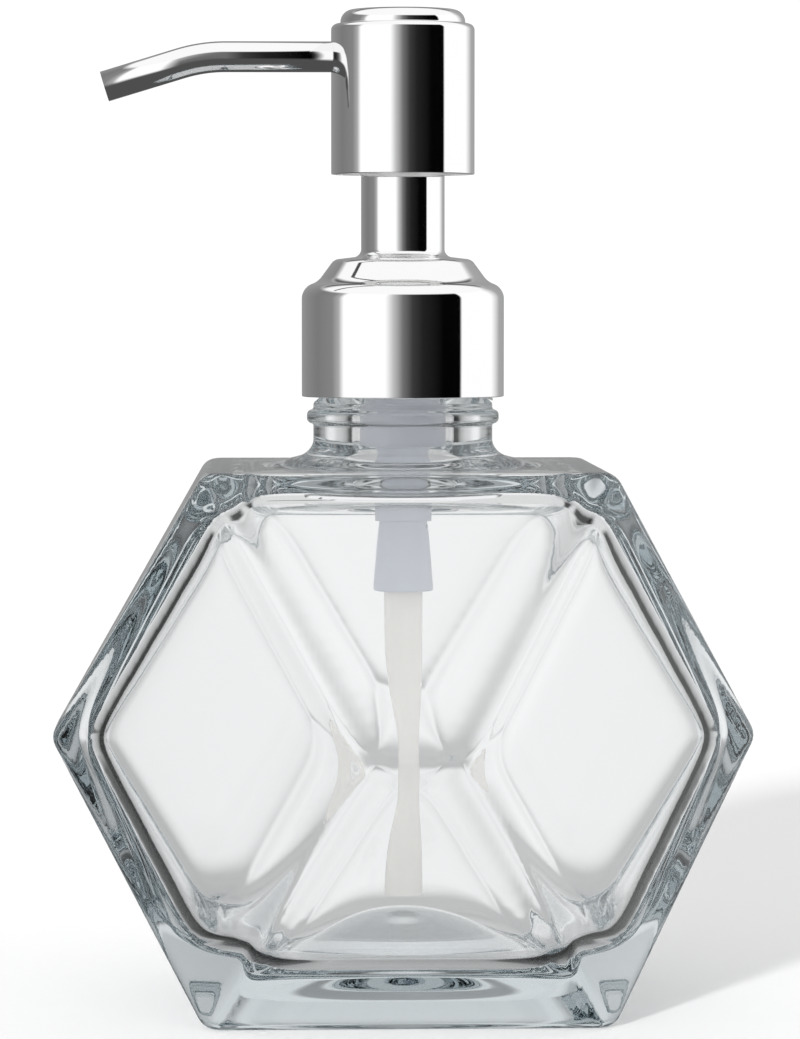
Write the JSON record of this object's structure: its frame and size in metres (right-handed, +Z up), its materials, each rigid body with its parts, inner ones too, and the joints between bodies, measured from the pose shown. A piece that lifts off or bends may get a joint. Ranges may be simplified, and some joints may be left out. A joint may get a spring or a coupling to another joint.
{
  "type": "soap pump dispenser",
  "caption": "Clear faceted glass bottle with diamond corners and a screw-on polished metal lotion pump with a side spout.",
  "frame": {"origin": "middle of the bottle's base, on the surface it stands on", "axes": "+Z up along the pump's axis; the spout points to -X at rest; a waist edge of the bottle faces -Y"},
  "size_m": [0.1088, 0.1088, 0.1544],
  "materials": {
    "clear_glass": "clear pressed soda-lime glass, fire-polished",
    "white_foam": "soft closed-cell foam washer",
    "blue_plastic": "grey-blue translucent polypropylene",
    "milky_plastic": "milky translucent polyethylene",
    "white_plastic": "moulded white polypropylene",
    "seal_plastic": "soft natural polyethylene",
    "black_rubber": "moulded nitrile rubber",
    "ball_steel": "ground stainless steel",
    "spring_steel": "drawn stainless spring wire",
    "polished_metal": "mirror-polished stainless steel"
  },
  "bodies": {
    "bottle": {"glass_bottle": "clear_glass"},
    "pump": {"pump_housing": "blue_plastic", "neck_gasket": "white_foam", "retainer": "white_plastic", "stem_wiper": "black_rubber", "dip_tube": "milky_plastic", "return_spring": "spring_steel"},
    "collar": {"collar_shell": "polished_metal", "threaded_ring": "white_plastic"},
    "piston": {"piston_seal": "seal_plastic"},
    "head": {"stem": "white_plastic", "stem_plug": "white_plastic", "head_core": "white_plastic", "head_shell": "polished_metal", "spout_tube": "polished_metal"},
    "inlet_valve": {"inlet_ball": "ball_steel"},
    "outlet_valve": {"outlet_ball": "ball_steel"}
  },
  "joints": [
    {"name": "pump_rise", "type": "slide", "parent": "bottle", "child": "pump", "axis": [0, 0, 1], "range_m": [0, 0.00529]},
    {"name": "collar_unscrew", "type": "hinge", "parent": "pump", "child": "collar", "pos_m": [0, 0, 0.1], "axis": [0, 0, 1], "range_deg": [0, 450]},
    {"name": "head_press", "type": "slide", "parent": "pump", "child": "piston", "axis": [0, 0, -1], "range_m": [0, 0.011], "stiffness_N_per_m": 500, "springref_m": -0.01, "deforming": ["return_spring"]},
    {"name": "head_swivel", "type": "hinge", "parent": "piston", "child": "head", "pos_m": [0, 0, 0.13], "axis": [0, 0, 1], "continuous": true},
    {"name": "inlet_ball_lift", "type": "slide", "parent": "pump", "child": "inlet_valve", "axis": [0, 0, 1], "range_m": [0, 0.001]},
    {"name": "outlet_ball_lift", "type": "slide", "parent": "head", "child": "outlet_valve", "axis": [0, 0, 1], "range_m": [0, 0.001]}
  ],
  "couplings": [
    {"joint": "collar_unscrew", "follows": "pump_rise", "rad_per_m": 1484.2}
  ]
}
